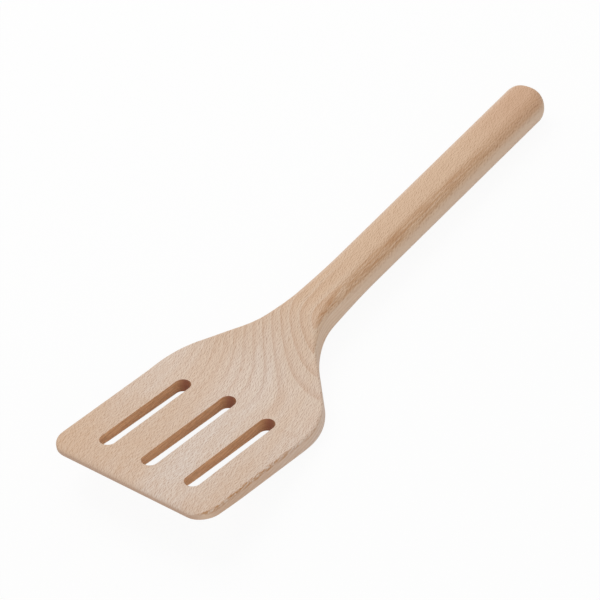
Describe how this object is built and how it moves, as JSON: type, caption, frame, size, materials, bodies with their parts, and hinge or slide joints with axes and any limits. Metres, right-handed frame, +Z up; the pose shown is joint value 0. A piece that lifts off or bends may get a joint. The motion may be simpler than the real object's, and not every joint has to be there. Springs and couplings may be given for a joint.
{
  "type": "slotted turner",
  "caption": "One-piece wooden kitchen turner: a flat slotted blade with a thin tip, a cranked neck and a straight rounded handle, for lifting and turning food.",
  "frame": {"origin": "middle of the outline, on the table that the tool lies on", "axes": "+Y along the handle from the blade's tip to the handle's end, +Z up out of the face that carries the food, +X to the right seen from the handle"},
  "size_m": [0.092, 0.3158, 0.022],
  "materials": {
    "beech": "bare sanded beech, matt"
  },
  "bodies": {
    "root": {"spatula_body": "beech"}
  },
  "joints": []
}
